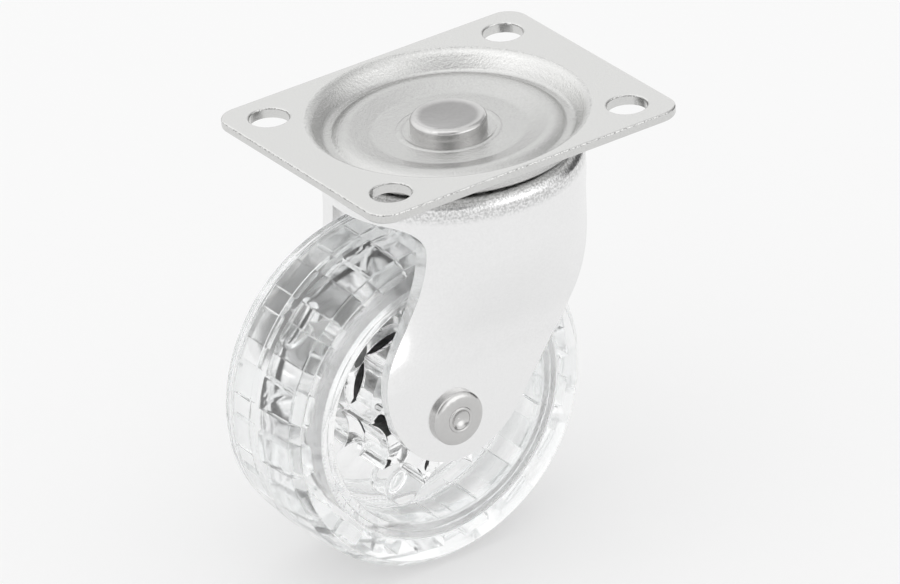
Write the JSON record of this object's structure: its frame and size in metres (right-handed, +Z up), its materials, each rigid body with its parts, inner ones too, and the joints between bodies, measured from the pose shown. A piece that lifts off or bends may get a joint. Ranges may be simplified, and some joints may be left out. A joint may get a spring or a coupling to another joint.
{
  "type": "furniture caster",
  "caption": "Swivel furniture caster with a square-cornered steel top plate, a pressed twin-leg fork and a clear wheel.",
  "frame": {"origin": "centre of the mounting plate's flat top face, on the swivel axis", "axes": "+Z up out of the plate's top face, +X along the plate's long side, the wheel trailing towards -X at rest, +Y along the wheel's axle"},
  "size_m": [0.0936, 0.064, 0.0978],
  "materials": {
    "plate_zinc": "bright zinc plate, finely grained",
    "fork_zinc": "bright zinc plate, smooth",
    "rivet_steel": "satin steel",
    "bearing_steel": "polished bearing steel",
    "core_clear": "clear and glossy",
    "tyre_clear": "clear and glossy"
  },
  "bodies": {
    "plate_body": {"top_plate": "plate_zinc", "kingpin": "rivet_steel", "upper_balls": "bearing_steel", "lower_balls": "bearing_steel", "lower_race": "fork_zinc"},
    "fork_body": {"fork": "fork_zinc", "axle_rivet": "rivet_steel", "bearing_inner_rings": "bearing_steel", "axle_spacer": "rivet_steel", "end_spacers": "rivet_steel"},
    "wheel_body": {"wheel_core": "core_clear", "wheel_tyre": "tyre_clear", "bearing_outer_rings": "bearing_steel", "bearing_balls": "bearing_steel", "bearing_shields": "bearing_steel"}
  },
  "joints": [
    {"name": "swivel", "type": "hinge", "parent": "plate_body", "child": "fork_body", "pos_m": [0, 0, 0], "axis": [0, 0, 1], "continuous": true},
    {"name": "wheel_roll", "type": "hinge", "parent": "fork_body", "child": "wheel_body", "pos_m": [-0.0165, 0, -0.0597], "axis": [0, 1, 0], "continuous": true}
  ]
}
